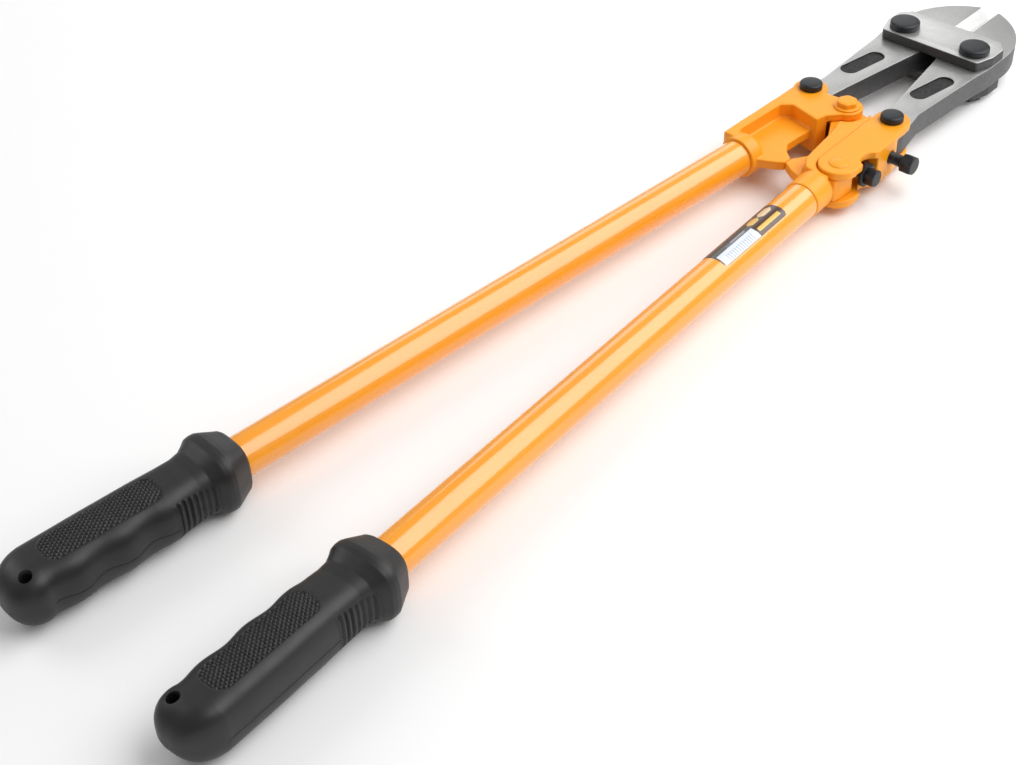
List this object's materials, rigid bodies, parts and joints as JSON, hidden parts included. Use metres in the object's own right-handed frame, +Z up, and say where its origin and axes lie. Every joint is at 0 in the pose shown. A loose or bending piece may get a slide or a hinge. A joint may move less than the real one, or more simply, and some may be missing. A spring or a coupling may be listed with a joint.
{
  "type": "bolt cutters",
  "caption": "Long-handled compound-lever bolt cutters with painted tube handles, rubber grips, steel jaws joined by side plates, and an adjusting link with set screws.",
  "frame": {"origin": "centre of the tool's bounding box, on the surface that the tool lies on", "axes": "+X towards the jaw tips, +Y towards the left handle, +Z up, away from the surface"},
  "size_m": [0.7379, 0.149, 0.036],
  "materials": {
    "orange_paint": "smooth gloss enamel on steel tube",
    "orange_cast_paint": "gloss enamel over a cast surface",
    "forged_steel": "ground forging with a satin grain",
    "plate_steel": "brushed plate",
    "black_oxide": "black oxide, slightly oily",
    "black_rubber": "matt moulded rubber",
    "label_print": "printed film label"
  },
  "bodies": {
    "right_handle": {"right_tube": "orange_paint", "right_fitting": "orange_cast_paint", "right_grip": "black_rubber", "size_label": "label_print", "adjusting_link": "orange_cast_paint", "link_rivet": "orange_cast_paint", "right_pivot_bolt": "black_oxide", "right_pivot_nut": "black_oxide"},
    "left_handle": {"left_tube": "orange_paint", "left_fitting": "orange_cast_paint", "left_grip": "black_rubber", "centre_bolt": "orange_cast_paint", "centre_nut": "orange_cast_paint", "left_pivot_bolt": "black_oxide", "left_pivot_nut": "black_oxide"},
    "left_jaw": {"left_jaw": "forged_steel"},
    "right_jaw": {"right_jaw": "forged_steel"},
    "side_plates": {"top_side_plate": "plate_steel", "bottom_side_plate": "plate_steel", "left_jaw_bolt": "black_oxide", "right_jaw_bolt": "black_oxide", "jaw_nuts": "black_oxide", "jaw_washers": "black_oxide"},
    "front_screw": {"front_adjusting_screw": "black_oxide"},
    "rear_screw": {"rear_lock_screw": "black_oxide"}
  },
  "joints": [
    {"name": "handle_fold", "type": "hinge", "parent": "right_handle", "child": "left_handle", "pos_m": [0.20297, 0, 0.018], "axis": [0, 0, -1], "range_deg": [0, 70]},
    {"name": "left_jaw_pivot", "type": "hinge", "parent": "left_handle", "child": "left_jaw", "pos_m": [0.20697, 0.0291, 0.018], "axis": [0, 0, 1], "range_deg": [0, 39]},
    {"name": "right_jaw_pivot", "type": "hinge", "parent": "right_handle", "child": "right_jaw", "pos_m": [0.20697, -0.0291, 0.018], "axis": [0, 0, -1], "range_deg": [0, 39]},
    {"name": "side_plate_pivot", "type": "hinge", "parent": "left_jaw", "child": "side_plates", "pos_m": [0.30527, 0.0254, 0.018], "axis": [0, 0, -1], "range_deg": [0, 4]},
    {"name": "front_screw_turn", "type": "hinge", "parent": "right_handle", "child": "front_screw", "pos_m": [0.18897, -0.05, 0.018], "axis": [0, -1, 0], "range_deg": [-180, 180]},
    {"name": "rear_screw_turn", "type": "hinge", "parent": "right_handle", "child": "rear_screw", "pos_m": [0.16397, -0.045, 0.018], "axis": [0, -1, 0], "range_deg": [-180, 180]}
  ],
  "couplings": [
    {"joint": "left_jaw_pivot", "follows": "handle_fold", "ratio": 0.5559},
    {"joint": "right_jaw_pivot", "follows": "handle_fold", "ratio": 0.5559},
    {"joint": "side_plate_pivot", "follows": "handle_fold", "ratio": 0.0559}
  ]
}
